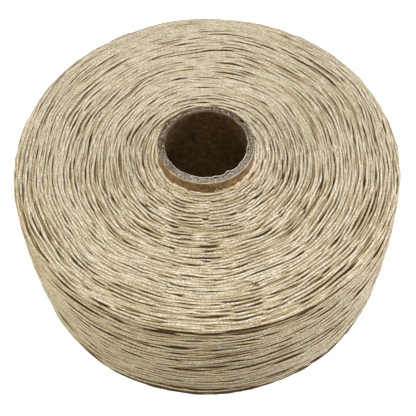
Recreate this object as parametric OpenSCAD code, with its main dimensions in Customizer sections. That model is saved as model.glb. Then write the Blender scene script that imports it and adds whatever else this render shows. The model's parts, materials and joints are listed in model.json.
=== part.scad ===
// Spool of waxed linen thread: a broad package of thread, wound without flanges
// on a paperboard tube that stands proud of the winding at both ends.
// Millimetres. +Z runs up the bore, and the origin is the centre of the tube's lower end.

/* [Paperboard tube] */
// Diameter of the bore, which goes over a spindle or a peg
bore_d = 27; // [24:0.5:30]
// Length of the tube
tube_l = 64; // [62:1:80]
// Thickness of the kraft liner, and of the kraft wrap
kraft_t = 0.3; // [0.2:0.05:0.5]
// Thickness of one chipboard ply
ply_t = 0.45; // [0.3:0.05:0.6]

/* [Winding] */
// Diameter of the winding at mid-height
winding_d = 130; // [120:1:150]
// Height of the winding between its two faces
winding_h = 52; // [48:1:56]
// Radius of the rounded shoulders
shoulder_r = 3; // [3:0.5:6]
// How much less the winding's radius is at its shoulders than at mid-height
barrel = 0.5; // [0:0.1:1.5]

/* [Outer turns] */
// Turns in the outer layer
turns = 24; // [8:1:24]
// Diameter of one turn, which stands for two turns of 1.1 mm thread side by side
strand_d = 2.2; // [1:0.1:2.3]
// Radius of the bends at the outer layer's two ends
end_bend_r = 2.5; // [2:0.5:3]

/* [Hidden] */
$fn = 96;
PLIES = 4;
RINGS_PER_TURN = 24;
STRAND_SIDES = 6;
END_BEND_STEP = 30; // degrees between the rings of an end bend
SIDE_STEPS = 8; // straight lengths in the profile of the body's side
CLEAR = 0.5; // clear space round the last end, in its pocket

bore_r = bore_d / 2;
board_r = bore_r + kraft_t; // inside of the innermost chipboard ply
wrap_r = board_r + PLIES * ply_t;
tube_r = wrap_r + kraft_t;

mid_z = tube_l / 2;
top_z = mid_z + winding_h / 2; // upper face of the winding
bottom_z = mid_z - winding_h / 2;
shoulder_x = winding_d / 2 - barrel - shoulder_r; // centre of a shoulder's arc

// A turn is straight between two rings, so its middle comes this much nearer to the axis.
chord_sag = winding_d / 2 * (1 - cos(180 / RINGS_PER_TURN));

// The outer layer starts at the tube. It ends above a plain band, in a pocket of that band.
first_r = tube_r + strand_d + end_bend_r;
pocket_z = bottom_z + shoulder_r; // floor of the pocket, level with the lower shoulder's top
last_z = pocket_z + strand_d + end_bend_r;
band_z = last_z - strand_d / 2 - CLEAR;

// The layer's centre line crosses the upper face, bends over the shoulder and goes down the side.
bend_r = shoulder_r - strand_d / 2;
face_run = shoulder_x - first_r;
bend_run = bend_r * PI / 2;
side_run = top_z - shoulder_r - last_z;
pitch = (face_run + bend_run + side_run) / turns;

// Radius of the winding at a height on its side
function side_r(z) = winding_d / 2 - barrel * pow((z - mid_z) / (winding_h / 2 - shoulder_r), 2);

// A point on the centre line's meridian, s along it: [radius, height, tilt of the outward normal]
function meridian(s) =
    s < face_run ? on_face(s)
    : s < face_run + bend_run ? on_shoulder((s - face_run) / bend_run * 90)
    : on_side(top_z - shoulder_r - (s - face_run - bend_run));
function on_face(s) = [first_r + s, top_z - strand_d / 2, 0];
function on_shoulder(tilt) = [
    shoulder_x + bend_r * sin(tilt),
    top_z - shoulder_r + bend_r * cos(tilt),
    tilt
];
function on_side(z) = [side_r(z) - strand_d / 2, z, 90];

// A ring of the outer layer: its centre and the winding's outward normal there
function ring(angle, place) = [
    [place[0] * cos(angle), place[0] * sin(angle), place[1]],
    [sin(place[2]) * cos(angle), sin(place[2]) * sin(angle), cos(place[2])]
];

// The first end leaves the tube square to its wall, then bends into the first turn.
function start_rings() = concat(
    [ring(0, [tube_r, top_z - strand_d / 2, 0])],
    [for (a = [0 : END_BEND_STEP : 90]) start_bend_ring(a)]
);
function start_bend_ring(a) =
    let (x = tube_r + strand_d + end_bend_r * sin(a), y = end_bend_r * (1 - cos(a)))
    ring(atan2(y, x), [norm([x, y]), top_z - strand_d / 2, 0]);

function turn_rings() = [
    for (i = [1 : turns * RINGS_PER_TURN])
        ring(i * 360 / RINGS_PER_TURN, meridian(pitch * i / RINGS_PER_TURN))
];

// The last end bends down along the side, then meets the pocket's floor square to it.
function end_rings() = concat(
    [for (a = [END_BEND_STEP : END_BEND_STEP : 90]) end_bend_ring(a)],
    [ring(end_bend_angle(90), on_side(last_z - end_bend_r) - [0, strand_d, 0])]
);
function end_bend_angle(a) = end_bend_r * sin(a) / side_r(last_z) * 180 / PI;
function end_bend_ring(a) = ring(end_bend_angle(a), on_side(last_z - end_bend_r * (1 - cos(a))));

RINGS = concat(start_rings(), turn_rings(), end_rings());
CENTRES = [for (r = RINGS) r[0]];

// The least clear gap between stretches of the outer layer that lie half a turn or more apart
least_gap = min([
    for (i = [0 : len(CENTRES) - 1])
        for (j = [i + RINGS_PER_TURN / 2 : 1 : len(CENTRES) - 1])
            norm(CENTRES[i] - CENTRES[j])
]) - strand_d;
echo(least_gap_mm = least_gap, pitch_mm = pitch, rings = len(RINGS));

function unit(v) = v / norm(v);

// The corners of one ring, in the plane square to the run there
function ring_corners(i) =
    let (
        ahead = unit(CENTRES[min(i + 1, len(CENTRES) - 1)] - CENTRES[max(i - 1, 0)]),
        side = unit(cross(ahead, RINGS[i][1])),
        up = cross(side, ahead)
    ) [
        for (k = [0 : STRAND_SIDES - 1])
            let (a = k * 360 / STRAND_SIDES)
            CENTRES[i] + strand_d / 2 * (cos(a) * up + sin(a) * side)
    ];

// Two triangles for each side of each length of strand, and a cap of triangles at each end
function strand_faces(rings) = concat(
    [
        for (i = [0 : rings - 2])
            for (k = [0 : STRAND_SIDES - 1])
                let (
                    a = i * STRAND_SIDES + k,
                    b = i * STRAND_SIDES + (k + 1) % STRAND_SIDES
                )
                each [
                    [a, b + STRAND_SIDES, b],
                    [a, a + STRAND_SIDES, b + STRAND_SIDES]
                ]
    ],
    [for (k = [1 : STRAND_SIDES - 2]) [0, k, k + 1]],
    [for (k = [1 : STRAND_SIDES - 2]) (rings - 1) * STRAND_SIDES * [1, 1, 1] + [0, k + 1, k]]
);

// One layer of the paperboard tube
module tube_layer(inner_r, thickness) {
    rotate_extrude()
        translate([inner_r, 0])
            square([thickness, tube_l]);
}

module core_liner() {
    color("#a5835c")
        tube_layer(bore_r, kraft_t);
}

// The plies are counted from the bore outwards.
module core_ply(number) {
    color("#8f877b")
        tube_layer(board_r + (number - 1) * ply_t, ply_t);
}

module core_wrap() {
    color("#b08a5a")
        tube_layer(wrap_r, kraft_t);
}

// The packed thread under the outer layer, with the plain band that is the winding's lower edge
module thread_body() {
    top_shoulder = [
        for (a = [0 : 15 : 90])
            [
                shoulder_x - chord_sag + (shoulder_r - strand_d) * sin(a),
                top_z - shoulder_r + (shoulder_r - strand_d) * cos(a)
            ]
    ];
    under_turns = [
        for (i = [1 : SIDE_STEPS])
            let (z = top_z - shoulder_r - i / SIDE_STEPS * (top_z - shoulder_r - band_z))
            [under_turns_r(z), z]
    ];
    lower_shoulder = [
        for (a = [90 : 15 : 180])
            [shoulder_x + shoulder_r * sin(a), pocket_z + shoulder_r * cos(a)]
    ];
    color("#b9aa86")
        difference() {
            rotate_extrude()
                polygon(concat(
                    [[tube_r, bottom_z], [tube_r, top_z - strand_d]],
                    top_shoulder,
                    under_turns,
                    [[side_r(band_z), band_z]],
                    lower_shoulder
                ));
            end_pocket();
        }
}
function under_turns_r(z) = side_r(z) - strand_d - chord_sag;

// The space in the plain band for the bend and the straight run of the last end
module end_pocket() {
    margin = strand_d / 2 + CLEAR;
    translate([under_turns_r(band_z), -margin, pocket_z])
        cube([winding_d, end_bend_r + 2 * margin, band_z]);
}

// The outer layer: one unbroken strand across the upper face and down the side
module thread_outer_turns() {
    color("#d6c8a4")
        polyhedron(
            points = [for (i = [0 : len(RINGS) - 1]) each ring_corners(i)],
            faces = strand_faces(len(RINGS)),
            convexity = 10
        );
}

core_liner();
core_ply(1);  // core_ply_1
core_ply(2);  // core_ply_2
core_ply(3);  // core_ply_3
core_ply(4);  // core_ply_4
core_wrap();
thread_body();
thread_outer_turns();
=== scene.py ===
"""Spool of waxed linen thread, wound without flanges on a spiral-wound paperboard tube."""

import json
import math
from functools import cache

import bpy
import numpy as np
from bpy.props import FloatProperty, FloatVectorProperty, IntProperty, PointerProperty
from mathutils import Matrix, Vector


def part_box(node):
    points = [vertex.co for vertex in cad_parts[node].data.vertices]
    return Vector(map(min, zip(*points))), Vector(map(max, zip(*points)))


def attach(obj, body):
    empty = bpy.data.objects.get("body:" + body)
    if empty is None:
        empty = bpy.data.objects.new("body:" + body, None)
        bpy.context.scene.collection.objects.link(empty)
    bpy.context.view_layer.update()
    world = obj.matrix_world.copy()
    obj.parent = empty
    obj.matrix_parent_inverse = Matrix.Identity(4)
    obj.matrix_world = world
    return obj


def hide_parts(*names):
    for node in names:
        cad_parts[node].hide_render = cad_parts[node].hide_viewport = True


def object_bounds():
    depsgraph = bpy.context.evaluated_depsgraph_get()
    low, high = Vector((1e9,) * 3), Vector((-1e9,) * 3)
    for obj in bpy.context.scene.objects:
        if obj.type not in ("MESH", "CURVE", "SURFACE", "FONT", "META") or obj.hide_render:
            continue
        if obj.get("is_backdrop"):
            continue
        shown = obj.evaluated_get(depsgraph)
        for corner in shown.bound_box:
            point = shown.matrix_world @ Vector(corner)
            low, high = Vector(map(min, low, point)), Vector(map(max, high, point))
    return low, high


bl_info = {
    "name": "Waxed Thread Spool",
    "version": (1, 0, 0),
    "blender": (4, 5, 0),
    "location": "View3D > Sidebar > Thread Spool",
    "description": "Builds a spool of waxed linen thread on a paperboard tube",
    "category": "Add Mesh",
}

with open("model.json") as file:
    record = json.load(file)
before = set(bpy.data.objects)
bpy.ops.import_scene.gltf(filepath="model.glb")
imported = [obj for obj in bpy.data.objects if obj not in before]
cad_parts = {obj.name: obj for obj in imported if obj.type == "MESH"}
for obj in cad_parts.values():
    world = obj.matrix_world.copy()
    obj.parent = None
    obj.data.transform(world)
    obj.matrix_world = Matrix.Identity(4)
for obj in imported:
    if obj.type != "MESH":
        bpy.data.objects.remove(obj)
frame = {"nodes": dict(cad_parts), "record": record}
CAD_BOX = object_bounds()

# --- Sizes taken from the frame, in millimetres -----------

MM = 0.001
TAU = 2 * math.pi


def box_mm(node):
    """Lowest and highest corner of a CAD node, in millimetres."""
    return [np.array(corner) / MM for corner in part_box(node)]


PLIES = sorted(name for name in frame["nodes"] if name.startswith("core_ply_"))
TUBE_R = box_mm("core_wrap")[1][0]
TUBE_L = box_mm("core_wrap")[1][2]
BORE_R = next(m for m in frame["record"]["mounts"] if m["kind"] == "bore")["dims"]["r_mm"]
WINDING_R = box_mm("thread_outer_turns")[1][0]
TOP_Z = box_mm("thread_outer_turns")[1][2]
LOW_Z = box_mm("thread_body")[0][2]
MID_Z = (TOP_Z + LOW_Z) / 2


# --- Properties -------------------------------------------


class SpoolThread(bpy.types.PropertyGroup):
    """Sizes and colours of the wound thread."""

    diameter: FloatProperty(
        name="Thread diameter", description="Diameter of one thread", default=0.8 * MM, unit="LENGTH"
    )
    layers: IntProperty(name="Layers", description="Layers of thread over the packing", default=2, min=1)
    rise: FloatProperty(
        name="Rise", description="Rise of each layer over the one below", default=0.8 * MM, unit="LENGTH"
    )
    pitch: FloatProperty(
        name="Pitch",
        description="Distance from each turn to the next on the faces, in the outermost layer",
        default=0.56 * MM,
        unit="LENGTH",
    )
    side_pitch: FloatProperty(
        name="Side pitch",
        description="Distance from each turn to the next on the side, in the outermost layer",
        default=0.58 * MM,
        unit="LENGTH",
    )
    groove: FloatProperty(
        name="Groove",
        description="Depth of the groove in the side, just under the upper shoulder",
        default=0.9 * MM,
        unit="LENGTH",
    )
    drift: FloatProperty(
        name="Drift",
        description="How far neighbouring turns stray together, typically",
        default=0.65 * MM,
        unit="LENGTH",
    )
    sway: FloatProperty(
        name="Sway",
        description="How far a turn strays to either side, typically",
        default=0.16 * MM,
        unit="LENGTH",
    )
    slack: FloatProperty(
        name="Slack",
        description="How much deeper the gaps are where the thread was wound slackest, as a share",
        default=0.66,
        subtype="FACTOR",
    )
    slack_towards: FloatProperty(
        name="Slack towards",
        description="Direction in which the thread was wound slackest",
        default=math.radians(-86),
        unit="ROTATION",
    )
    bunch: FloatProperty(
        name="Bunching",
        description="How far the turns on the side gather into bunches, typically",
        default=0.12 * MM,
        unit="LENGTH",
    )
    swell: FloatProperty(
        name="Swell",
        description="How deep the hollows between the bunches on the side are, typically",
        default=0.38 * MM,
        unit="LENGTH",
    )
    dip: FloatProperty(
        name="Dip",
        description="How far a turn sinks where it runs under its neighbours",
        default=0.44 * MM,
        unit="LENGTH",
    )
    give: FloatProperty(
        name="Give",
        description="How far a turn can lie over or under its layer's own height",
        default=0.3 * MM,
        unit="LENGTH",
    )
    squash: FloatProperty(
        name="Squash", description="How far a turn sinks into those below", default=0.15 * MM, unit="LENGTH"
    )
    climb: FloatProperty(
        name="Climb",
        description="How much higher the faces are at the tube",
        default=1.2 * MM,
        unit="LENGTH",
    )
    # Painted shade: a dark line over the lower shoulder, drawn as if the thread were this much deeper
    # between the turns
    shoulder_shade: FloatProperty(
        name="Scuff",
        description="How dirty the lower shoulder is, as the depth between turns of the same colour",
        default=1.1 * MM,
        unit="LENGTH",
    )
    # Painted shade: the direction in which the dark line over the lower shoulder is darkest
    shoulder_shade_towards: FloatProperty(
        name="Scuff towards",
        description="Direction in which the lower shoulder is dirtiest",
        default=math.radians(-65),
        unit="ROTATION",
    )
    upper_corner: FloatProperty(
        name="Upper corner",
        description="Radius of the winding's upper shoulder",
        default=1.5 * MM,
        unit="LENGTH",
    )
    lower_corner: FloatProperty(
        name="Lower corner",
        description="Radius of the winding's lower shoulder",
        default=2.8 * MM,
        unit="LENGTH",
    )
    upper_barrel: FloatProperty(
        name="Upper barrel",
        description="How much less the radius is at the upper shoulder than at mid-height",
        default=1.2 * MM,
        unit="LENGTH",
    )
    lower_barrel: FloatProperty(
        name="Lower barrel",
        description="How much less the radius is at the lower shoulder than at mid-height",
        default=0.7 * MM,
        unit="LENGTH",
    )
    seed: IntProperty(name="Seed", description="Seed of the winding's irregularities", default=18)
    # Painted highlight: the crests of the outermost turns are painted paler than the thread's own colour
    crest: FloatVectorProperty(
        name="Crest",
        description="Colour of the rubbed crests of the outermost turns",
        default=(0.85, 0.765, 0.6),
        subtype="COLOR",
    )
    light: FloatVectorProperty(
        name="Light linen",
        description="Colour of the thread just under the crests",
        default=(0.55, 0.465, 0.31),
        subtype="COLOR",
    )
    warm: FloatVectorProperty(
        name="Warm linen",
        description="Colour of the warmest thread",
        default=(0.45, 0.345, 0.17),
        subtype="COLOR",
    )
    bare: FloatVectorProperty(
        name="Bare fibre",
        description="Colour of the palest fibres of the thread",
        default=(0.88, 0.81, 0.68),
        subtype="COLOR",
    )
    # Painted shade: the thread's colour part of the way down between the turns
    amber: FloatVectorProperty(
        name="Amber wax",
        description="Colour of the waxed thread on the way down between the turns",
        default=(0.28, 0.185, 0.065),
        subtype="COLOR",
    )
    # Painted shade: the thread's colour deep between the turns, nearly black
    shade: FloatVectorProperty(
        name="Deep wax",
        description="Colour of the waxed thread deep between the turns",
        default=(0.046, 0.02, 0.005),
        subtype="COLOR",
    )


class SpoolTube(bpy.types.PropertyGroup):
    """Sizes and colours of the paperboard tube."""

    ragged: FloatProperty(
        name="Ragged cut",
        description="How far the cut ends of the plies rise and fall",
        default=0.12 * MM,
        unit="LENGTH",
    )
    kraft: FloatVectorProperty(
        name="Kraft", description="Colour of the kraft wrap", default=(0.18, 0.105, 0.037), subtype="COLOR"
    )
    # Partly the liner's own brown and partly painted shade: darker than plain kraft, so that the bore looks
    # dark
    liner: FloatVectorProperty(
        name="Liner",
        description="Colour of the liner inside the bore",
        default=(0.06, 0.031, 0.008),
        subtype="COLOR",
    )
    board: FloatVectorProperty(
        name="Chipboard",
        description="Colour of the grey chipboard",
        default=(0.32, 0.27, 0.195),
        subtype="COLOR",
    )


class SpoolStage(bpy.types.PropertyGroup):
    """The place and the lens of the camera."""

    elevation: FloatProperty(
        name="Camera elevation",
        description="Height of the camera above the horizon, seen from its pivot",
        default=math.radians(53.31),
        unit="ROTATION",
    )
    distance: FloatProperty(
        name="Camera distance",
        description="Distance from the camera to its pivot, just under the middle of the upper face",
        default=273 * MM,
        unit="LENGTH",
    )
    dip: FloatProperty(
        name="Camera dip",
        description="How far below its pivot the camera aims",
        default=math.radians(3.61),
        unit="ROTATION",
    )
    roll: FloatProperty(
        name="Camera roll",
        description="Turn of the camera about its own line of sight",
        default=math.radians(-1.79),
        unit="ROTATION",
    )
    lens: FloatProperty(
        name="Lens", description="Focal length, in millimetres of a 36 mm sensor", default=71.1
    )


# --- Strands ----------------------------------------------


def unit(vectors):
    """The vectors, each at length 1."""
    return vectors / np.linalg.norm(vectors, axis=-1, keepdims=True)


def smooth(values, reach):
    """The values with a soft running average over reach samples to either side."""
    kernel = np.hanning(2 * reach + 3)[1:-1]
    padded = np.pad(values, reach, mode="edge")
    return np.convolve(padded, kernel / kernel.sum(), "valid")


def wander(rng, count, reach):
    """Smooth noise of unit spread along count samples, whose bumps are about reach samples long."""
    spectrum = np.fft.rfft(rng.normal(size=count))
    cycles = np.arange(len(spectrum)) / count
    noise = np.fft.irfft(spectrum * np.exp(-0.5 * (TAU * cycles * reach / 2) ** 2), count)
    return noise / max(noise.std(), 1e-9)


def resample(at, run, values):
    """The values along a run, at other places of it."""
    if values.ndim == 1:
        return np.interp(at, run, values)
    return np.stack([np.interp(at, run, column) for column in values.T], -1)


class Skein:
    """Collects strands of thread, then makes them into one mesh."""

    GAP = 1.0  # length left free on the maps between one strand and the next, in millimetres
    CLOSING = 0.6  # share of the way round a strand that only the faces that close its rings span
    ROW_HEIGHT = 3.8  # height of a row of the bake's map, at the scale of its length, in millimetres
    ROW_MARGIN = 0.05  # share of a row's height left free on either side of its strand

    def __init__(self, sides):
        self.sides = sides
        self.points, self.quads, self.along, self.turn, self.tone, self.sunk = ([] for _ in range(6))
        self.count = 0
        self.run = 0.0

    def add(self, points, outward, radius, tone, sunk):
        """One strand along points, in millimetres. outward points away from the spool at each."""
        rings = len(points)
        ahead = unit(np.gradient(points, axis=0))
        side = unit(np.cross(ahead, unit(outward)))
        up = np.cross(side, ahead)
        angle = np.arange(self.sides) / self.sides * TAU
        spread = np.cos(angle)[:, None] * up[:, None] + np.sin(angle)[:, None] * side[:, None]
        self.points.append((points[:, None] + radius[:, None, None] * spread).reshape(-1, 3))

        around = np.arange(self.sides)
        after = (around + 1) % self.sides
        near = self.count + np.arange(rings - 1)[:, None] * self.sides
        far = near + self.sides
        wall = np.stack([near + around, near + after, far + after, far + around], -1)
        fan = np.array([[0, j, j + 1, j + 2] for j in range(1, self.sides - 2, 2)])
        last = self.count + (rings - 1) * self.sides
        self.quads += [wall.reshape(-1, 4), fan[:, ::-1] + self.count, fan + last]

        steps = np.linalg.norm(np.diff(points, axis=0), axis=1)
        at = self.run + np.concatenate([[0], np.cumsum(steps)])
        self.along.append(np.repeat(at, self.sides))
        self.turn.append(np.tile(around / self.sides, rings))
        self.tone.append(np.repeat(tone, self.sides))
        # Each side of the round section counts as deeper than its crest, so the flanks get painted shade and
        # the crest a painted highlight
        self.sunk.append((sunk[:, None] + radius[:, None] * (1 - np.cos(angle))).ravel())
        self.count += rings * self.sides
        self.run = at[-1] + self.GAP

    def corner_maps(self, quads):
        """The places of the faces' corners on the two maps: thread lengths, and the bake's rows."""
        along = np.concatenate(self.along)[quads]
        turn = np.concatenate(self.turn)[quads]
        closes = np.ptp(turn, axis=1) > self.CLOSING
        turn = np.where(closes[:, None] & (turn < 1 - self.CLOSING), turn + 1, turn)
        rows = max(1, round(math.sqrt(self.run / self.ROW_HEIGHT)))
        row_length = self.run / rows
        row = np.minimum(along.min(1) // row_length, rows - 1)[:, None]
        along_row = along - row * row_length
        up_map = (row + self.ROW_MARGIN + (1 - 2 * self.ROW_MARGIN) * turn) / rows
        packed = np.stack([along_row / along_row.max(), up_map], -1)
        return np.stack([along, turn], -1), np.clip(packed, 0, 1)

    def mesh(self, name):
        """The mesh of all strands, in metres, with its maps and attributes."""
        verts = np.concatenate(self.points) * MM
        quads = np.concatenate(self.quads)
        mesh = bpy.data.meshes.new(name)
        mesh.vertices.add(len(verts))
        mesh.vertices.foreach_set("co", verts.astype(np.float32).ravel())
        mesh.loops.add(quads.size)
        mesh.loops.foreach_set("vertex_index", quads.astype(np.int32).ravel())
        mesh.polygons.add(len(quads))
        mesh.polygons.foreach_set("loop_start", np.arange(0, quads.size, 4, dtype=np.int32))
        for label, places in zip(("Thread", "OFBake"), self.corner_maps(quads)):
            layer = mesh.uv_layers.new(name=label)
            layer.uv.foreach_set("vector", places.astype(np.float32).ravel())
        for label, values in (("tone", self.tone), ("sunk", self.sunk)):
            add_attribute(mesh, label, np.concatenate(values))
        mesh.polygons.foreach_set("use_smooth", np.ones(len(quads), bool))
        mesh.update(calc_edges=True)
        mesh.validate()
        return mesh


def add_attribute(mesh, name, values):
    """Gives each vertex of a mesh a value that its material reads."""
    attribute = mesh.attributes.new(name, "FLOAT", "POINT")
    attribute.data.foreach_set("value", values.ravel().astype(np.float32))


def finish_piece(mesh, material, slot, replaced):
    """Puts a mesh in the scene as a piece of the spool that stands for CAD nodes."""
    piece = bpy.data.objects.new(mesh.name, mesh)
    bpy.context.scene.collection.objects.link(piece)
    mesh.materials.append(material)
    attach(piece, "root")
    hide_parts(*replaced)


# --- Winding ----------------------------------------------

LEAST_CORNER = 0.5  # least radius of a shoulder, however deep under the surface
CLIMB_REACH = 3  # distance from the tube over which a face comes down from its climb
FACE_STEPS, SHOULDER_STEPS, FLANK_STEPS = 200, 12, 80


def half_meridian(corner, depth, barrel, climb):
    """Corners of (radius, height) from the tube over one face and half of the side, about mid-height."""
    corner = max(corner - depth, LEAST_CORNER)
    half = (TOP_Z - LOW_Z) / 2 - depth
    rim = WINDING_R - depth - barrel
    radii = np.linspace(TUBE_R, rim - corner, FACE_STEPS)
    face = np.stack([radii, half + climb * np.exp((TUBE_R - radii) / CLIMB_REACH)], -1)
    turn = np.linspace(0, math.pi / 2, SHOULDER_STEPS)[1:-1]
    shoulder = np.stack([rim - corner + corner * np.sin(turn), half - corner + corner * np.cos(turn)], -1)
    heights = np.linspace(half - corner, 0, FLANK_STEPS)
    flank = np.stack([rim + barrel * (1 - (heights / (half - corner)) ** 2), heights], -1)
    return np.concatenate([face, shoulder, flank])


def meridian(thread, depth):
    """Corners of (radius, height) along the winding from tube to tube, at a depth under its surface."""
    climb = thread.climb / MM
    upper = half_meridian(thread.upper_corner / MM, depth, thread.upper_barrel / MM, climb)
    lower = half_meridian(thread.lower_corner / MM, depth, thread.lower_barrel / MM, climb)
    return np.concatenate([upper, lower[-2::-1] * (1, -1)]) + (0, MID_Z)


class Surface:
    """The winding's surface, which the crests of the outermost turns reach.

    A place on it is an angle, and a distance along the meridian that runs from the tube over the upper
    face, the side and the lower face back to the tube.
    """

    FACING = 0.5  # least share of the outward direction that points up or down on a face

    def __init__(self, thread):
        self.corners = meridian(thread, 0.0)
        steps = np.linalg.norm(np.diff(self.corners, axis=0), axis=1)
        self.at = np.concatenate([[0], np.cumsum(steps)])
        along = np.gradient(self.corners, self.at, axis=0)
        self.outward = np.stack([-along[:, 1], along[:, 0]], -1)
        self.upper_end = self.at[self.outward[:, 1] > self.FACING].max()
        self.lower_start = self.at[self.outward[:, 1] < -self.FACING].min()

    def place(self, s, height):
        """Radius, z and outward direction of a place at a height over the surface."""
        rho, z = (np.interp(s, self.at, self.corners[:, k]) for k in (0, 1))
        outward = unit(np.stack([np.interp(s, self.at, self.outward[:, k]) for k in (0, 1)], -1))
        return rho + height * outward[:, 0], z + height * outward[:, 1], outward

    def points(self, s, height, angle):
        """Points of a run over the winding, and the outward directions there."""
        rho, z, outward = self.place(s, height)
        across = np.stack([np.cos(angle), np.sin(angle)], -1)
        points = np.column_stack([rho[:, None] * across, z])
        return points, np.column_stack([outward[:, :1] * across, outward[:, 1]])


class Winding(Surface):
    """The outer layers of thread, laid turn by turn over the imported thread.

    Heights here are over the packing. Each turn comes to rest on the thread below it, whose height is
    kept in a map of angle and meridian. Lengths are in millimetres, and the slack side is where the
    thread was wound slackest.
    """

    SAMPLES = 600  # round the winding, of each turn
    CELL = 0.1  # size of the maps' cells along the meridian
    LONGEST_RUN = 3 * SAMPLES  # samples after which a strand of the mesh ends and the next starts

    # Where the turns go
    PITCHES = (0.8, 1.2)  # least and most share of the pitch from one turn to the next
    UNDER_PITCH = 1.5  # share of the pitch in the layers under the outermost one
    SHOULDER = 2  # half the distance over which the faces' ways pass into the side's
    SWAYS = ((1.0, 7), (0.5, 3))  # shares of the sway, and the lengths of their bumps
    SIDE_SWAY = 0.9  # share of the sway on the side
    SWAY_FADE = (8, 0.3)  # distance from the tube within which turns sway less, and the least share
    DRIFT_FADE = (25, 0.1)  # the same for the drift

    # How high they lie
    ROLL = np.linspace(-0.2, 0.2, 5)  # how far a turn tries to roll to find a hollow
    LOWER = 0.08  # how much lower a place is before a turn clearly rolls there
    SPANS = (6, 4, 3, 2, 1)  # samples to either side over which a turn is pulled straight
    FULL = 0.8  # noise over which the side swells to its full height
    SWELLS = (0.5, 0.6, 0.4)  # share of the swell: plainly, more on the slack side, and at least
    SIDE_DIP = 0.4  # how much further the turns sink on the side
    DIPS = (0.35, 4)  # how unevenly they sink, and the length of its bumps
    DIVES = (0.5, 0.42, 1.6)  # share of the dip: plainly, less on the side, and more with the noise
    GROOVE = (1.5, 0.6)  # how far below the upper face the groove is, and half its width
    GROOVES = (1.5, 0.1)  # share of the groove on the slack side, and at least
    GROOVE_DIP = 0.7  # share of the dip in the groove, where all turns sink alike

    # How they look
    GIRTHS = ((0.1, 2.2), (0.07, 9))  # how much the girth varies, and the lengths of its bumps
    TONES = (0.2, 30)  # the same for the tone
    HOLLOW_SHADE = 0.22  # share of a hollow's depth by which its thread gets painted shade
    GROOVE_SHADE = 0.1  # how much deeper the thread in the groove looks: painted shade under the upper shoulder
    SIDE_SHADE = 0.1  # how much deeper the thread on the side looks: painted shade over the whole side
    SHOULDER_SHADED = (-3.3, -2.6, -1.2, -0.4)  # start, full strength and end of the line of painted shade over the lower face

    def __init__(self, thread):
        super().__init__(thread)
        self.rng = np.random.default_rng(thread.seed)
        self.layers = thread.layers
        self.radius = thread.diameter / MM / 2
        for name in ("rise", "pitch", "side_pitch", "sway", "squash", "give", "dip", "groove", "shoulder_shade"):
            setattr(self, name, getattr(thread, name) / MM)
        self.shoulder_shade_towards = thread.shoulder_shade_towards
        self.slack = thread.slack
        self.slack_towards = thread.slack_towards
        self.depth = 2 * self.radius + (self.layers - 1) * self.rise
        self.height = np.zeros((self.SAMPLES, round(self.at[-1] / self.CELL) + 1))
        reach = int(self.radius / self.CELL)
        self.window = np.arange(-reach, reach + 1)
        self.arch = np.sqrt(self.radius**2 - (self.window * self.CELL) ** 2)
        self.column = np.arange(self.SAMPLES)
        self.drift = thread.drift / MM * self.shared_noise(along=8.0, across=6.0)
        self.bunch = thread.bunch / MM * self.shared_noise(along=8.0, across=1.2)
        bumps = np.minimum(self.shared_noise(along=5.0, across=0.45), self.FULL)
        self.swell = thread.swell / MM * (bumps - self.FULL)
        self.weave = [self.shared_noise(along=2.8, across=1.4) for _ in range(2)]

    def shared_noise(self, along, across):
        """A map of noise of unit spread over angle and meridian, whose bumps have sizes in millimetres."""
        noise = np.fft.fft2(self.rng.normal(size=self.height.shape))
        sample = 0.7 * WINDING_R * TAU / self.SAMPLES  # at a typical radius
        turns = np.fft.fftfreq(self.height.shape[0])[:, None] * TAU * along / sample
        steps = np.fft.fftfreq(self.height.shape[1])[None] * TAU * across / self.CELL
        noise = np.fft.ifft2(noise * np.exp(-0.5 * (turns**2 + steps**2))).real
        return noise / noise.std()

    def place(self, s, height):
        """Radius, z and outward direction of a place at a height over the packing."""
        return super().place(s, height - self.depth)

    def guide(self, layer):
        """Where the thread guide puts a layer's thread at every sample, along the meridian."""
        first, last = self.radius, self.at[-1] - self.radius
        spread = 1 if layer == self.layers - 1 else self.UNDER_PITCH
        starts = [first]
        while starts[-1] < last:
            on_side = self.upper_end < starts[-1] < self.lower_start
            pitch = self.side_pitch if on_side else self.pitch
            starts.append(starts[-1] + spread * pitch * self.rng.uniform(*self.PITCHES))
        turns = np.arange((len(starts) - 1) * self.SAMPLES) / self.SAMPLES
        s = np.interp(turns, np.arange(len(starts)), starts)
        if layer % 2:
            s = self.at[-1] - s
        away = self.place(s, self.radius)[0] - TUBE_R
        run = self.length(s)
        spot = self.spot(s)
        on_side = self.on_side(s)
        (sway_reach, least_sway), (drift_reach, least_drift) = self.SWAY_FADE, self.DRIFT_FADE
        sway = self.sway * (1 + (self.SIDE_SWAY - 1) * on_side) * np.clip(away / sway_reach, least_sway, 1)
        s += self.drift[spot] * np.clip(away / drift_reach, least_drift, 1)
        s += self.bunch[spot] * on_side
        for share, reach in self.SWAYS:
            s += share * sway * self.uneven(run, reach)
        return np.clip(s, first, last)

    def length(self, s):
        """Length of a layer's thread up to each sample."""
        return np.cumsum(self.place(s, self.radius)[0]) * TAU / self.SAMPLES

    def spot(self, s):
        """Column and row of the maps at every sample of a layer's thread."""
        row = np.clip(s / self.CELL, 0, self.height.shape[1] - 1).astype(int)
        return np.arange(len(s)) % self.SAMPLES, row

    def on_side(self, s):
        """1 on the side, 0 on the two faces."""
        upper, lower, reach = self.upper_end, self.lower_start, self.SHOULDER
        return np.interp(s, (upper - reach, upper + reach, lower - reach, lower + reach), (0, 1, 1, 0))

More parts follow.
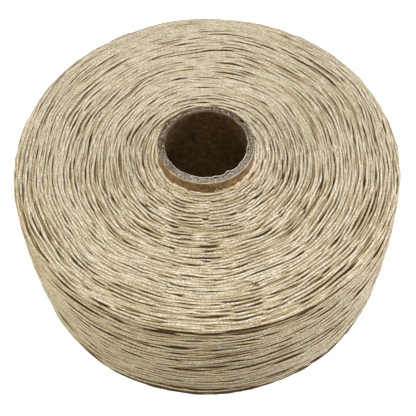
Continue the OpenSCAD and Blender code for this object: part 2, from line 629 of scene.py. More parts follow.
    def dive(self, s, on_side):
        """Share of the dip by which a thread runs under its neighbours, which then run over it.

        From each turn to the next the phase moves by half a cycle on the faces, so that every other
        turn dives, and by a third of a cycle on the side. There the noise is also read at half speed,
        so that the dives are longer, and back and forth, so that it joins up after a turn.
        """
        phase = np.cumsum(math.pi * (1 - on_side / 3)) / self.SAMPLES
        column, row = self.spot(s)
        column = np.where(on_side < 0.5, column, np.abs(column - self.SAMPLES // 2) // 2)
        one, other = (noise[column, row] for noise in self.weave)
        plain, less, more = self.DIVES
        return np.clip(plain - less * on_side - more * (np.cos(phase) * one + np.sin(phase) * other), 0, 1)

    def uneven(self, run, reach):
        """Noise of unit spread along a thread, whose bumps are about reach millimetres long."""
        noise = wander(self.rng, int(run[-1]) + 2, reach)
        return np.interp(run, np.arange(len(noise)), noise)

    def cells(self, s):
        """Cells of the height map under a thread at each sample."""
        cell = np.rint(s / self.CELL).astype(int)
        return np.clip(cell[:, None] + self.window, 0, self.height.shape[1] - 1)

    def rest(self, s):
        """Height at which a thread's middle rests on the thread below."""
        return (self.height[self.column[:, None], self.cells(s)] + self.arch).max(1)

    def lay(self, s, level):
        """Lays one turn along s, near a level of height. It rolls into hollows."""
        rests = np.stack([self.rest(s + roll) for roll in self.ROLL], 1)
        weight = np.exp(-(rests - rests.min(1, keepdims=True)) / self.LOWER)
        roll = (weight * self.ROLL).sum(1) / weight.sum(1)
        s = s + smooth(roll, 3)
        rest = self.pull_taut(self.rest(s)) - self.squash
        rest = smooth(level + self.give * np.tanh((rest - level) / self.give), 1)
        cells = self.cells(s)
        below = self.height[self.column[:, None], cells]
        self.height[self.column[:, None], cells] = np.maximum(below, rest[:, None] + self.arch)
        return s, rest

    def pull_taut(self, height):
        """Height of a turn that is pulled straight over the hollows below it."""
        for span in self.SPANS:
            chord = (np.roll(height, span) + np.roll(height, -span)) / 2
            height = np.maximum(height, chord)
        return height

    def levels(self, guide, slackest, layer):
        """Height at which each sample of a layer is wound, and the height under which it gets painted shade.
        """
        on_side = self.on_side(guide)
        plain, more, least = self.SWELLS
        swell = self.swell[self.spot(guide)] * on_side * np.clip(plain + more * slackest, least, 1)
        level = self.radius + layer * self.rise + swell
        unshaded_level = level - self.HOLLOW_SHADE * swell
        (below, half_width), (more, least) = self.GROOVE, self.GROOVES
        groove = np.exp(-(((guide - self.upper_end - below) / half_width) ** 2))
        groove = groove * np.clip(more * slackest, least, 1)
        if layer == self.layers - 1:
            # On the side the slack counts a third less, and the turns sink half as unevenly
            spread, reach = self.DIPS
            dip = self.dip * (1 + self.SIDE_DIP * on_side) * (1 + self.slack * slackest * (1 - on_side / 3))
            dip = dip * (1 + spread * self.uneven(self.length(guide), reach) * (1 - on_side / 2))
            dive = self.dive(guide, on_side)
            level = level - dip * (dive + (self.GROOVE_DIP - dive) * groove)
        return level - self.groove * groove, unshaded_level + self.GROOVE_SHADE * groove

    def darkening(self, s, angle):
        """How much deeper the thread looks on the line of painted shade over the lower face."""
        shaded_share = np.interp(s - self.lower_start, self.SHOULDER_SHADED, (0, 1, 1, 0))
        return self.shoulder_shade * shaded_share * np.maximum(np.cos(angle - self.shoulder_shade_towards), 0) ** 2

    def strands(self):
        """Every layer's thread, in runs: (surface, run, points, outward, radius, tone, sunk)."""
        for layer in range(self.layers):
            guide = self.guide(layer)
            angle = np.arange(len(guide)) / self.SAMPLES * TAU
            level, unshaded_level = self.levels(guide, np.cos(angle - self.slack_towards), layer)
            turns = zip(guide.reshape(-1, self.SAMPLES), level.reshape(-1, self.SAMPLES))
            s, height = (np.concatenate(part) for part in zip(*(self.lay(*turn) for turn in turns)))
            run = np.concatenate([[0], np.cumsum(self.place(s, height)[0][1:] * np.diff(angle))])
            girth = 1
            for spread, reach in self.GIRTHS:
                girth = girth + spread * self.uneven(run, reach)
            spread, reach = self.TONES
            tone = np.clip(0.5 + spread * self.uneven(run, reach), 0, 1)
            points, outward = self.points(s, height, angle)
            # sunk sets the painted shade: depth under the unshaded level and under the outer layers, more on
            # the side, and the painted dark line over the lower face
            sunk = np.maximum(unshaded_level - height, 0) + (self.layers - 1 - layer) * self.rise
            sunk = sunk + self.SIDE_SHADE * self.on_side(s) + self.darkening(s, angle)
            columns = (run, points, outward, self.radius * girth, tone, sunk)
            for start in range(0, len(s), self.LONGEST_RUN):
                part = slice(start, start + self.LONGEST_RUN + 1)
                yield self.surface(s[part].mean()), *(column[part] for column in columns)

    def surface(self, s):
        """Which of the winding's three surfaces a place is on."""
        if s < self.upper_end:
            return "upper"
        return "lower" if s > self.lower_start else "side"


# --- Materials --------------------------------------------


class Nodes:
    """Short ways to place and join nodes in one tree."""

    def __init__(self, tree):
        self.tree = tree
        self.column = 0

    def feed(self, target, value):
        """Joins an output to an input, or sets the input to a value."""
        if isinstance(value, bpy.types.NodeSocket):
            self.tree.links.new(value, target)
        elif value is not None:
            target.default_value = value

    def add(self, kind, **settings):
        """A node, with its settings. A setting that names an input feeds that input."""
        node = self.tree.nodes.new(kind)
        node.location = (self.column * 180, 0)
        self.column += 1
        for key, value in settings.items():
            if hasattr(node, key):
                setattr(node, key, value)
            else:
                self.feed(node.inputs[key], value)
        return node

    def maths(self, operation, a, b=None):
        """A Math node over sockets or numbers."""
        node = self.add("ShaderNodeMath", operation=operation)
        self.feed(node.inputs[0], a)
        self.feed(node.inputs[1], b)
        return node.outputs[0]

    def mix(self, factor, a, b, blend="MIX"):
        """A colour Mix node over sockets or colours. The factor is a socket or a number."""
        node = self.add("ShaderNodeMix", data_type="RGBA", blend_type=blend)
        self.feed(node.inputs[0], factor)
        for target, colour in ((node.inputs[6], a), (node.inputs[7], b)):
            self.feed(target, colour if isinstance(colour, bpy.types.NodeSocket) else (*colour, 1))
        return node.outputs[2]

    def mix_shader(self, factor, a, b):
        """A Mix Shader node over shaders."""
        node = self.add("ShaderNodeMixShader")
        for target, value in zip(node.inputs, (factor, a.outputs[0], b.outputs[0])):
            self.feed(target, value)
        return node

    def ramp(self, value, low, high, to_low=0.0, to_high=1.0):
        """A smooth Map Range of a socket."""
        node = self.add("ShaderNodeMapRange", interpolation_type="SMOOTHSTEP", Value=value)
        for label, number in zip(("From Min", "From Max", "To Min", "To Max"), (low, high, to_low, to_high)):
            node.inputs[label].default_value = number
        return node.outputs["Result"]

    def split(self, vector):
        """The three parts of a vector."""
        return self.add("ShaderNodeSeparateXYZ", Vector=vector).outputs

    def attribute(self, name):
        """The value of a mesh's attribute."""
        return self.add("ShaderNodeAttribute", attribute_name=name).outputs["Fac"]

    def bump(self, shader, height, strength, distance):
        """Feeds the shader's normal from a height."""
        bump = self.add("ShaderNodeBump", Strength=strength, Distance=distance, Height=height)
        self.feed(shader.inputs["Normal"], bump.outputs[0])

    def group(self, tree, **values):
        """The outputs of a group node with its own values."""
        node = self.add("ShaderNodeGroup")
        node.node_tree = tree
        for label, value in values.items():
            node.inputs[label].default_value = value
        return node.outputs


def new_group(name, inputs, outputs):
    """A shader group whose sockets are numbers: (its tree, Nodes, sources, targets)."""
    tree = bpy.data.node_groups.new(name, "ShaderNodeTree")
    for label, default in inputs.items():
        socket = tree.interface.new_socket(label, in_out="INPUT", socket_type="NodeSocketFloat")
        socket.default_value = default
    for label in outputs:
        tree.interface.new_socket(label, in_out="OUTPUT", socket_type="NodeSocketFloat")
    nodes = Nodes(tree)
    return tree, nodes, nodes.add("NodeGroupInput").outputs, nodes.add("NodeGroupOutput").inputs


@cache
def ply_twist_group():
    """Height and mask of the plies twisted round a thread, from its Thread map."""
    tree, n, source, sink = new_group("Ply twist", {"Lay": 2.6, "Plies": 3.0}, ["Height", "Groove"])
    along, around, _ = n.split(n.add("ShaderNodeUVMap", uv_map="Thread").outputs[0])
    turned = n.maths("SUBTRACT", around, n.maths("DIVIDE", along, source["Lay"]))
    phase = n.maths("MULTIPLY", n.maths("MULTIPLY", turned, source["Plies"]), TAU)
    crest = n.maths("ABSOLUTE", n.maths("SINE", n.maths("MULTIPLY", phase, 0.5)))
    n.feed(sink["Height"], n.maths("POWER", crest, 0.6))
    n.feed(sink["Groove"], n.ramp(n.maths("SINE", phase), -1.0, -0.5, 1.0, 0.0))
    return tree


@cache
def fibre_group():
    """Fine fibres that run along a thread: a mottled value and a height."""
    tree, n, source, sink = new_group("Linen fibre", {"Fineness": 1.0}, ["Mottle", "Height"])
    place = n.add("ShaderNodeUVMap", uv_map="Thread").outputs[0]
    stretched = n.add("ShaderNodeMapping", Vector=place, Scale=(0.8, 6.0, 1.0)).outputs[0]
    for label, scale, detail in (("Mottle", 0.35, 3.0), ("Height", 2.2, 4.0)):
        scale = n.maths("MULTIPLY", source["Fineness"], scale)
        noise = n.add(
            "ShaderNodeTexNoise", noise_dimensions="2D", Vector=stretched, Scale=scale, Detail=detail
        )
        n.feed(sink[label], noise.outputs["Fac"])
    return tree


@cache
def paper_group():
    """Paper pulp: a fine mottle, long fibres and dark and light specks, from the piece's own place."""
    # Each mask: its name, scale and detail, and the values of its noise where it starts and is full
    masks = (
        ("Mottle", 0.6, 5.0, 0.3, 0.7),
        ("Fibres", 1.5, 2.0, 0.5, 0.6),
        ("Grain", 3.2, 1.0, 0.45, 0.62),
        ("Specks", 2.1, 1.0, 0.64, 0.68),
        ("Stain", 0.25, 3.0, 0.4, 0.65),
    )
    tree, n, source, sink = new_group("Paper pulp", {"Scale": 1.0}, [*(mask[0] for mask in masks), "Height"])
    place = n.add("ShaderNodeTexCoord").outputs["Object"]
    scale = n.maths("MULTIPLY", source["Scale"], 1 / MM)
    place = n.add("ShaderNodeVectorMath", operation="SCALE", Vector=place, Scale=scale).outputs[0]
    for label, scale, detail, low, high in masks:
        noise = n.add("ShaderNodeTexNoise", Vector=place, Scale=scale, Detail=detail)
        n.feed(sink[label], n.ramp(noise.outputs["Fac"], low, high))
    height = n.add("ShaderNodeTexNoise", Vector=place, Scale=4.0, Detail=4.0)
    n.feed(sink["Height"], height.outputs["Fac"])
    return tree


def new_material(name, **settings):
    """A material, with settings of its Principled shader: (material, Nodes, shader)."""
    material = bpy.data.materials.new(name)
    material.use_nodes = True
    material.node_tree.nodes.clear()
    nodes = Nodes(material.node_tree)
    shader = nodes.add("ShaderNodeBsdfPrincipled", **settings)
    nodes.add("ShaderNodeOutputMaterial", Surface=shader.outputs[0])
    return material, nodes, shader


@cache
def linen_material():
    """Waxed linen, mottled, with a painted highlight on the crests and painted shade, darker and browner,
    deep between the turns.
    """
    thread = bpy.context.scene.spool_thread
    material, n, shader = new_material("Waxed linen")
    shader.inputs["Specular IOR Level"].default_value = 0.2
    shader.inputs["Sheen Weight"].default_value = 0.05
    shader.inputs["Sheen Roughness"].default_value = 0.5
    shader.inputs["Sheen Tint"].default_value = (1.0, 0.85, 0.6, 1.0)
    tone, sunk = n.attribute("tone"), n.attribute("sunk")
    twist, fibre = n.group(ply_twist_group()), n.group(fibre_group())
    warmth = n.maths("ADD", n.maths("MULTIPLY", tone, 0.3), n.maths("MULTIPLY", fibre["Mottle"], 1.3))
    patchy = n.ramp(fibre["Height"], 0.35, 0.65, 0.05, 0.45)
    # Painted highlight on the crests, fading into the thread's own colour down the flanks
    base = n.mix(n.ramp(sunk, 0.03, 0.2), thread.crest, thread.light)
    for mask, colour in (
        (n.ramp(warmth, 0.4, 1.2), thread.warm),
        (n.maths("MULTIPLY", twist["Groove"], patchy), thread.shade),  # painted shade in the grooves between the plies
        (n.ramp(fibre["Height"], 0.3, 0.6, 0.68, 0.0), thread.shade),  # flecks between the fibres
        (n.ramp(fibre["Height"], 0.5, 0.75, 0.0, 0.6), thread.bare),
        # These two rows paint shade between the turns: amber on the way down, nearly black deep down
        (n.ramp(sunk, 0.24, 0.48, 0.0, 0.9), thread.amber),
        (n.ramp(sunk, 0.4, 0.62, 0.0, 0.97), thread.shade),
    ):
        base = n.mix(mask, base, colour)
    n.feed(shader.inputs["Base Color"], base)
    n.feed(shader.inputs["Roughness"], n.ramp(fibre["Height"], 0.2, 0.8, 0.5, 0.7))
    height = n.maths("ADD", twist["Height"], n.maths("MULTIPLY", fibre["Height"], 0.5))
    n.bump(shader, height, strength=0.35, distance=0.1 * MM)
    return material


def packing_material(shade):
    """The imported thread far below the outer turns, nearly black in their shade."""
    material, n, shader = new_material("Packed thread", Roughness=0.9)
    pulp = n.group(paper_group(), Scale=0.5)
    shade = np.array(shade)
    n.feed(shader.inputs["Base Color"], n.mix(pulp["Mottle"], shade * 0.35, shade * 0.8))
    n.bump(shader, pulp["Height"], strength=0.4, distance=0.2 * MM)
    return material


def back_darkening(n, stain):
    """How much darker the tube's cut ends are: most towards +Y and a little -X, and least on the other side.
    """
    x, y, _ = n.split(n.add("ShaderNodeTexCoord").outputs["Object"])
    slant = n.maths("SUBTRACT", y, n.maths("MULTIPLY", x, 0.35))
    across = n.maths("MULTIPLY", slant, 1 / (12 * MM))
    return n.ramp(n.maths("ADD", across, n.maths("MULTIPLY", stain, 0.4)), -1.3, 1.0)


def paper_material(name, colour, cut, darkening, specks, speckled, coarse):
    """Paper or board, whose cut ends have a colour of their own.

    The darkening colour tints the cut ends darker, most towards +Y. speckled is how strong the specks are,
    and coarse is how strong the grain of the cut ends is.
    """
    material, n, shader = new_material(name)
    shader.inputs["Specular IOR Level"].default_value = 0.15
    pulp = n.group(paper_group())
    colour, cut = np.array(colour), np.array(cut)
    # The face, with its mottle, fibres and stains
    base = n.mix(pulp["Mottle"], colour * 0.5, np.minimum(colour * 1.5, 1))
    base = n.mix(n.maths("MULTIPLY", pulp["Fibres"], 0.35), base, colour * 0.55)
    base = n.mix(n.maths("MULTIPLY", pulp["Stain"], 0.45), base, colour * 0.5)
    # The cut ends
    end = n.mix(n.maths("MULTIPLY", pulp["Fibres"], coarse), cut, cut * 0.3)
    end = n.mix(n.maths("MULTIPLY", pulp["Grain"], coarse), end, cut * 0.18)
    end = n.mix(back_darkening(n, pulp["Stain"]), end, darkening, "MULTIPLY")
    # Both together, with specks, and painted nearly black as shade where a tear is deep
    facing = n.split(n.add("ShaderNodeNewGeometry").outputs["Normal"])
    base = n.mix(n.ramp(n.maths("ABSOLUTE", facing[2]), 0.45, 0.8), base, end)
    base = n.mix(n.maths("MULTIPLY", pulp["Specks"], speckled), base, specks)
    base = n.mix(n.attribute("pit"), base, (0.012, 0.009, 0.006))
    n.feed(shader.inputs["Base Color"], base)
    n.feed(shader.inputs["Roughness"], n.ramp(pulp["Height"], 0.3, 0.7, 0.7, 0.9))
    n.bump(shader, pulp["Height"], strength=0.5, distance=0.15 * MM)
    return material


# --- Operators --------------------------------------------


def thread_piece(skein, name):
    """Puts a skein in the scene as a piece of thread that stands for the CAD winding."""
    replaced = ["thread_outer_turns", "thread_body"]
    finish_piece(skein.mesh(name), linen_material(), "waxed_thread", replaced)


def revolve(name, profile, segments):
    """A closed solid of revolution from corners of (radius, height), in millimetres.

    The corners are the same all round, or each segment has its own.
    """
    corners = np.broadcast_to(profile, (segments, *np.shape(profile)[-2:]))
    radius, height = corners[..., 0], corners[..., 1]
    angle = np.arange(segments)[:, None] / segments * TAU
    verts = np.stack([radius * np.cos(angle), radius * np.sin(angle), height], -1)
    near = np.arange(radius.size).reshape(radius.shape)
    far = np.roll(near, -1, axis=0)
    faces = np.stack([near, far, np.roll(far, -1, axis=1), np.roll(near, -1, axis=1)], -1)
    mesh = bpy.data.meshes.new(name)
    mesh.from_pydata(verts.reshape(-1, 3) * MM, [], faces.reshape(-1, 4).tolist())
    mesh.update()
    return mesh


class SPOOL_OT_packing(bpy.types.Operator):
    """Pack the thread under the outer layers, as one dark solid round the tube"""

    bl_idname = "spool.packing"
    bl_label = "Packed Thread"

    SEGMENTS = 128

    def execute(self, context):
        thread = context.scene.spool_thread
        depth = (thread.diameter + (thread.layers - 1) * thread.rise) / MM
        profile = meridian(thread, depth)[::-2]  # every second corner is fine enough
        mesh = revolve("thread_packing", profile, self.SEGMENTS)
        finish_piece(mesh, packing_material(thread.shade), "waxed_thread", ["thread_body"])
        return {"FINISHED"}


class SPOOL_OT_thread(bpy.types.Operator):
    """Wind the outer layers of thread over the two faces and the side"""

    bl_idname = "spool.thread"
    bl_label = "Wound Thread"

    SIDES = 8
    STEPS = {"upper": 0.75, "lower": 2.2, "side": 1.0}  # from ring to ring of a strand, in millimetres
    MOST_VERTS = 90_000  # after which a piece takes no more strands

    def execute(self, context):
        winding = Winding(context.scene.spool_thread)
        bundles = {surface: [] for surface in self.STEPS}
        for surface, run, *columns in winding.strands():
            bundle = bundles[surface]
            if not bundle or bundle[-1].count > self.MOST_VERTS:
                bundle.append(Skein(self.SIDES))
            count = max(3, round((run[-1] - run[0]) / self.STEPS[surface]) + 1)
            at = np.linspace(run[0], run[-1], count)
            bundle[-1].add(*(resample(at, run, column) for column in columns))
        for surface, bundle in bundles.items():
            for number, skein in enumerate(bundle, 1):
                thread_piece(skein, f"thread_{surface}_turns_{number}")
        return {"FINISHED"}


class SPOOL_OT_fibres(bpy.types.Operator):
    """Lay the loose fibres, the tuft by the tube and the small snarl over the outermost turns"""

    bl_idname = "spool.fibres"
    bl_label = "Loose Fibres"

    SIDES = 4
    RINGS = 10
    THICK = 0.05  # radius of a fibre
    COUNT = 2000
    BLUNT = 0.2  # angle at which the half wave of a fibre's radius starts, where 0 is a pointed end
    LENGTHS = (2.0, 7.0)
    MARGIN = 1.0  # least distance along a face from the tube to the start of a fibre
    HEADINGS = (0.35, 0.6)  # how far a fibre points away from the turns, and how far it bends
    HEIGHTS = (0.15, 0.45)
    ROOT = 0.12  # how deep a fibre's ends go into the turns
    DEPTHS = (0.0, 0.36)  # how deep the pale and the amber fibres look
    # The tuft, with the least and the most of what differs from one of its fibres to the next
    TUFT_ANGLE = math.radians(-74)
    TUFT_COUNT = 14
    TUFT_THICK = 1.6  # times the radius of the loose fibres
    TUFT_ROOT = (0.15, 0.6)  # how far from the tube and over the upper face they start
    TUFT_STARTS = (-1.3, 1.3)  # places round the tube where they start
    TUFT_LEANS = (-1.6, 1.6)  # how far they lean round the tube
    TUFT_OFF = (0.1, 0.9)  # how far they lean away from the tube
    TUFT_RISES = (0.8, 2.2)
    TUFT_BENDS = (1.4, 2.4)  # angle through which they bend over
    # The snarl: its place, and its run as (along the turns, outwards over the face, height)
    SNARL_ANGLE = math.radians(-76)
    SNARL_R = 49.2
    SNARL = (
        (-1.6, -0.3, 0.0),
        (0.0, 0.0, 0.4),
        (0.4, 0.9, 0.7),
        (0.9, 1.9, 0.8),
        (1.7, 2.6, 0.7),
        (2.2, 2.0, 0.6),
        (1.5, 1.4, 0.5),
        (0.9, 1.5, 0.0),
    )
    SNARL_RINGS = 36
    SNARL_THICK = 0.2
    SNARL_DEPTH = 0.44

    def loose(self, surface, rng):
        """One fibre that leaves the surface, wanders over it and goes back in."""
        length = rng.uniform(*self.LENGTHS)
        share = np.linspace(0, 1, self.RINGS)
        point, bend = self.HEADINGS
        heading = rng.normal(0, point) + rng.normal(0, bend) * share + rng.choice([0, math.pi])
        s = rng.uniform(self.MARGIN, surface.at[-1] - self.MARGIN)
        s = s + np.cumsum(np.sin(heading)) * length / self.RINGS
        rho = surface.place(s, 0.0)[0]
        angle = rng.uniform(0, TAU) + np.cumsum(np.cos(heading) / rho) * length / self.RINGS
        height = rng.uniform(*self.HEIGHTS) * np.sin(math.pi * share) - self.ROOT
        return surface.points(s, height, angle)

    def tuft(self, rng):
        """One fibre of the tuft that stands against the tube."""
        share = np.linspace(0, 1, self.RINGS)
        off, over = self.TUFT_ROOT
        side = rng.uniform(*self.TUFT_STARTS) + rng.uniform(*self.TUFT_LEANS) * share**1.5
        rho = TUBE_R + off + rng.uniform(*self.TUFT_OFF) * share
        angle = self.TUFT_ANGLE + side / TUBE_R
        z = TOP_Z + over + rng.uniform(*self.TUFT_RISES) * np.sin(share * rng.uniform(*self.TUFT_BENDS))
        across = np.stack([np.cos(angle), np.sin(angle)], -1)
        return np.column_stack([rho[:, None] * across, z]), np.column_stack([across, 0 * z])

    def snarl(self, surface):
        """The bent end of thread that lies over the turns of the upper face."""
        knots = np.array(self.SNARL)
        share = np.linspace(0, len(knots) - 1, self.SNARL_RINGS)
        along, outward, height = (
            smooth(np.interp(share, np.arange(len(knots)), column), 3) for column in knots.T
        )
        face = surface.at < surface.upper_end
        s = np.interp(self.SNARL_R, surface.corners[face, 0], surface.at[face]) + outward
        return surface.points(s, height, self.SNARL_ANGLE + along / self.SNARL_R)

    def execute(self, context):
        thread = context.scene.spool_thread
        surface = Surface(thread)
        rng = np.random.default_rng(thread.seed)
        skein = Skein(self.SIDES)
        taper = self.THICK * np.sqrt(np.sin(np.linspace(self.BLUNT, math.pi - self.BLUNT, self.RINGS)))
        none = np.zeros(self.RINGS)
        for _ in range(self.COUNT):
            skein.add(*self.loose(surface, rng), taper, none, none + rng.choice(self.DEPTHS))
        for _ in range(self.TUFT_COUNT):
            skein.add(*self.tuft(rng), self.TUFT_THICK * taper, none, none)
        whole = np.ones(self.SNARL_RINGS)
        skein.add(*self.snarl(surface), self.SNARL_THICK * whole, whole, self.SNARL_DEPTH * whole)
        thread_piece(skein, "thread_loose_fibres")
        return {"FINISHED"}


class SPOOL_OT_tube(bpy.types.Operator):
    """Build the layers of the paperboard tube, with their ragged cut ends"""

    bl_idname = "spool.tube"
    bl_label = "Paperboard Tube"

    SEED = 5
    SEGMENTS = 360
    SOFT = 0.25  # share of a layer's thickness by which the corners of its cut ends are worn
    MOST_RISE = 0.6  # over the tube's length
    LIFTS = (-0.1, 0.02)  # least and most that a ply's upper end is higher
    # Bumps of the cut ends, as shares of the raggedness and lengths in segments
    UPPER_BUMPS = ((1.0, 5), (0.6, 18))
    LOWER_BUMPS = ((0.3, 6),)
    # How far the liner frays into the bore: in bumps, as a share of a tear's rise, and least and most
    FRAYED_BUMPS = ((0.12, 5),)
    FRAYED_TORN = 0.8
    FRAYED = (-0.05, 0.4)
    # Tears in the upper cut end: direction in degrees, width and rise, first and last layer
    TEARS = ((-60, 1.1, 0.4, 0, 1), (55, 2.2, 0.5, 0, 1), (37.4, 0.8, -0.5, 3, 5), (171, 0.7, -0.18, 1, 2))
    PIT_DEPTH = 0.25  # how deep a tear is before its bottom is painted nearly black as shade

    def torn(self, index, radius):
        """Rise of a layer's upper cut end round the tube, where it is torn."""
        angle = np.arange(self.SEGMENTS) / self.SEGMENTS * TAU
        rise = np.zeros(self.SEGMENTS)
        for direction, width, height, first, last in self.TEARS:
            if first <= index <= last:
                away = radius * np.abs((angle - math.radians(direction) + math.pi) % TAU - math.pi)
                rise += height * np.exp(-((away / width) ** 2))
        return rise

    def rough(self, rng, bumps):
        """Noise round the tube, from the spread and the length of its bumps."""
        return sum(spread * wander(rng, self.SEGMENTS, reach) for spread, reach in bumps)

    def layer(self, name, index, inner, outer, lift, ragged, rng):
        """One layer of the tube: a sleeve whose two cut ends rise and fall."""
        soft = (outer - inner) * self.SOFT
        # Corners of the profile: radius, share of the length, and height over it
        radius, share, over = np.transpose([
            (inner, 0.0, soft),
            (inner + soft, 0.0, 0.0),
            (outer - soft, 0.0, 0.0),
            (outer, 0.0, soft),
            (outer, 0.5, 0.0),
            (outer, 0.98, 0.0),
            (outer, 1.0, -soft),
            (outer - soft, 1.0, 0.0),
            (inner + soft, 1.0, 0.0),
            (inner, 1.0, -soft),
            (inner, 0.98, 0.0),
            (inner, 0.5, 0.0),
        ])
        torn = self.torn(index, inner)
        upper = ragged * self.rough(rng, self.UPPER_BUMPS) + lift + torn
        lower = ragged * self.rough(rng, self.LOWER_BUMPS)
        frayed = np.clip(self.rough(rng, self.FRAYED_BUMPS) + self.FRAYED_TORN * torn, *self.FRAYED)
        at_top, at_bottom = share == 1.0, share == 0.0
        corners = np.tile(np.stack([radius, share * TUBE_L + over], -1), (self.SEGMENTS, 1, 1))
        corners[:, at_top, 1] = np.minimum(corners[:, at_top, 1] + upper[:, None], TUBE_L + self.MOST_RISE)
        corners[:, at_bottom, 1] += np.abs(lower)[:, None]
        if index == 0:  # only the liner frays into the bore
            corners[:, at_top, 0] -= frayed[:, None]
        mesh = revolve(name, corners, self.SEGMENTS)
        add_attribute(mesh, "pit", np.clip(-torn / self.PIT_DEPTH, 0, 1)[:, None] * at_top)
        mesh.polygons.foreach_set("use_smooth", np.ones(len(mesh.polygons), bool))
        return mesh

    def execute(self, context):
        tube = context.scene.spool_tube
        rng = np.random.default_rng(self.SEED)
        kraft = paper_material(
            "Kraft wrap",
            tube.kraft,
            cut=(0.58, 0.49, 0.35),
            darkening=(0.24, 0.19, 0.13),
            specks=(0.33, 0.21, 0.1),
            speckled=0.4,
            coarse=0.4,
        )
        liner = paper_material(
            "Kraft liner",
            tube.liner,
            cut=(0.66, 0.58, 0.48),
            darkening=(0.24, 0.19, 0.13),
            specks=(0.02, 0.015, 0.01),
            speckled=0.3,
            coarse=0.35,
        )
        board = paper_material(
            "Chipboard",
            tube.board,
            cut=tube.board,
            darkening=(0.34, 0.26, 0.15),
            specks=(0.75, 0.72, 0.66),
            speckled=0.8,
            coarse=0.9,
        )
        radii = [BORE_R] + [box_mm(node)[1][0] for node in ["core_liner", *PLIES]] + [TUBE_R]
        for index, node in enumerate(["core_liner", *PLIES, "core_wrap"]):
            # Material, slot, how much higher the upper end is, and share of the raggedness
            material, slot, lift, share = {
                "core_liner": (liner, "kraft_liner", 0.06, 0.6),
                "core_wrap": (kraft, "kraft_wrap", -0.12, 0.6),
            }.get(node, (board, "chipboard", rng.uniform(*self.LIFTS), 1.0))
            name = "tube_" + node.removeprefix("core_")
            ragged = tube.ragged / MM * share
            mesh = self.layer(name, index, radii[index], radii[index + 1], lift, ragged, rng)
            finish_piece(mesh, material, slot, [node])
        return {"FINISHED"}


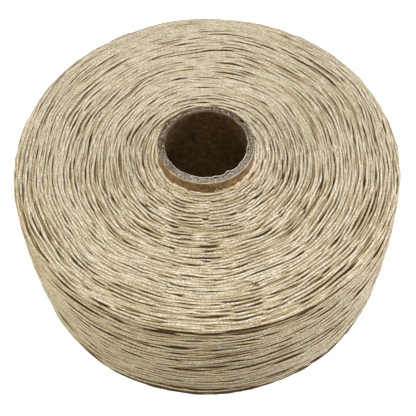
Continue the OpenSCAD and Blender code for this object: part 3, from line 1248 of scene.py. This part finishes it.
class SPOOL_OT_stage(bpy.types.Operator):
    """Set the floor, the backdrop, the lamps and the camera"""

    bl_idname = "spool.stage"
    bl_label = "Stage"

    FLOOR_SIZE = 6.0
    FLOOR_SEEN = (0.8, 0.8, 0.8)  # colour of the floor that the camera sees
    FLOOR_GLOW = 0.85  # strength of its own light, also only for the camera
    FLOOR_BOUNCE = (0.15, 0.15, 0.15)  # colour of the floor that lights the spool from below
    SKY_LIGHT = 0.1
    # The lamps: place, side, power and colour
    LAMPS = {
        "overhead": ((-0.01, -0.2, 0.47), 0.08, 2.2, (1.0, 1.0, 1.0)),
        "left": ((-0.9, 0.0, 0.22), 0.5, 8.5, (0.95, 1.0, 0.98)),
        "right": ((0.9, 0.0, 0.22), 0.5, 14.0, (0.8, 0.85, 1.0)),
    }
    SENSOR = 36.0
    PIVOT_DEPTH = 0.88  # of the camera's pivot under the crests of the upper face

    def floor(self):
        """The floor, which the camera sees as white and which throws little light on the spool."""
        bpy.ops.mesh.primitive_plane_add(size=self.FLOOR_SIZE, location=(0, 0, 0))
        floor = bpy.context.object
        floor.name = "floor"
        material, n, shader = new_material("White floor", Roughness=0.9)
        seen = n.add("ShaderNodeLightPath").outputs["Is Camera Ray"]
        n.feed(shader.inputs["Base Color"], n.mix(seen, self.FLOOR_BOUNCE, self.FLOOR_SEEN))
        glow = n.add("ShaderNodeEmission", Color=(1, 1, 1, 1), Strength=self.FLOOR_GLOW)
        both = n.add("ShaderNodeAddShader")
        n.feed(both.inputs[0], shader.outputs[0])
        n.feed(both.inputs[1], glow.outputs[0])
        output = material.node_tree.get_output_node("ALL")
        n.feed(output.inputs["Surface"], n.mix_shader(seen, shader, both).outputs[0])
        floor.data.materials.append(material)
        floor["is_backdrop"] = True

    def lamp(self, name, place, side, power, colour):
        """A soft square lamp that faces the middle of the spool."""
        data = bpy.data.lights.new(name, "AREA")
        data.shape = "SQUARE"
        data.size = side
        data.energy = power
        data.color = colour
        lamp = bpy.data.objects.new(name, data)
        bpy.context.scene.collection.objects.link(lamp)
        lamp.location = place
        aim = -lamp.location
        aim.z += MID_Z * MM
        lamp.rotation_mode = "QUATERNION"
        lamp.rotation_quaternion = aim.to_track_quat("-Z", "Y")

    def world(self):
        """The backdrop: white to the camera and to reflections, and a dim light on the spool."""
        world = bpy.data.worlds.new("Studio")
        bpy.context.scene.world = world
        world.use_nodes = True
        world.node_tree.nodes.clear()
        n = Nodes(world.node_tree)
        seen = n.add("ShaderNodeBackground", Color=(1, 1, 1, 1), Strength=1.0)
        light = n.add("ShaderNodeBackground", Color=(1, 1, 1, 1), Strength=self.SKY_LIGHT)
        path = n.add("ShaderNodeLightPath").outputs
        direct = n.maths("MAXIMUM", path["Is Camera Ray"], path["Is Glossy Ray"])
        direct = n.maths("MAXIMUM", direct, path["Is Transmission Ray"])
        n.add("ShaderNodeOutputWorld", Surface=n.mix_shader(direct, light, seen).outputs[0])

    def camera(self, stage):
        """The camera, at its distance from a pivot just under the middle of the upper face."""
        data = bpy.data.cameras.new("Camera")
        data.lens = stage.lens
        data.sensor_width = self.SENSOR
        camera = bpy.data.objects.new("Camera", data)
        bpy.context.scene.collection.objects.link(camera)
        pivot = Matrix.Translation((0, 0, TOP_Z * MM - self.PIVOT_DEPTH * MM))
        swing = Matrix.Rotation(math.pi / 2 - stage.elevation, 4, "X")
        away = Matrix.Translation((0, 0, stage.distance))
        dip = Matrix.Rotation(-stage.dip, 4, "X")
        roll = Matrix.Rotation(stage.roll, 4, "Z")
        camera.matrix_world = pivot @ swing @ away @ dip @ roll
        bpy.context.scene.camera = camera

    def execute(self, context):
        context.scene.view_settings.view_transform = "Standard"
        self.camera(context.scene.spool_stage)
        self.floor()
        self.world()
        for name, settings in self.LAMPS.items():
            self.lamp(name, *settings)
        return {"FINISHED"}


class SPOOL_PT_panel(bpy.types.Panel):
    """Lists the sizes and the steps of the spool"""

    bl_idname = "SPOOL_PT_panel"
    bl_label = "Waxed Thread Spool"
    bl_space_type = "VIEW_3D"
    bl_region_type = "UI"
    bl_category = "Thread Spool"

    def draw(self, context):
        for label, settings in SETTINGS.items():
            column = self.layout.column()
            for name in settings.__annotations__:
                column.prop(getattr(context.scene, label), name)
        for operator in OPERATORS:
            self.layout.operator(operator.bl_idname)


OPERATORS = (
    SPOOL_OT_stage,
    SPOOL_OT_packing,
    SPOOL_OT_thread,
    SPOOL_OT_fibres,
    SPOOL_OT_tube,
)
SETTINGS = {"spool_thread": SpoolThread, "spool_tube": SpoolTube, "spool_stage": SpoolStage}
CLASSES = (*SETTINGS.values(), *OPERATORS, SPOOL_PT_panel)


def register():
    """Registers the classes, and gives each scene its settings."""
    for cls in CLASSES:
        bpy.utils.register_class(cls)
    for name, settings in SETTINGS.items():
        setattr(bpy.types.Scene, name, PointerProperty(type=settings))


def unregister():
    """Takes back all that register did."""
    for name in SETTINGS:
        delattr(bpy.types.Scene, name)
    for cls in reversed(CLASSES):
        bpy.utils.unregister_class(cls)


def main():
    """Registers the classes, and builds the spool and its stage."""
    register()
    for operator in OPERATORS:
        group, name = operator.bl_idname.split(".")
        getattr(getattr(bpy.ops, group), name)()
    boxes = {"cad": CAD_BOX, "visual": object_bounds()}
    {name: [list(corner) for corner in box] for name, box in boxes.items()}


if __name__ == "__main__":
    main()
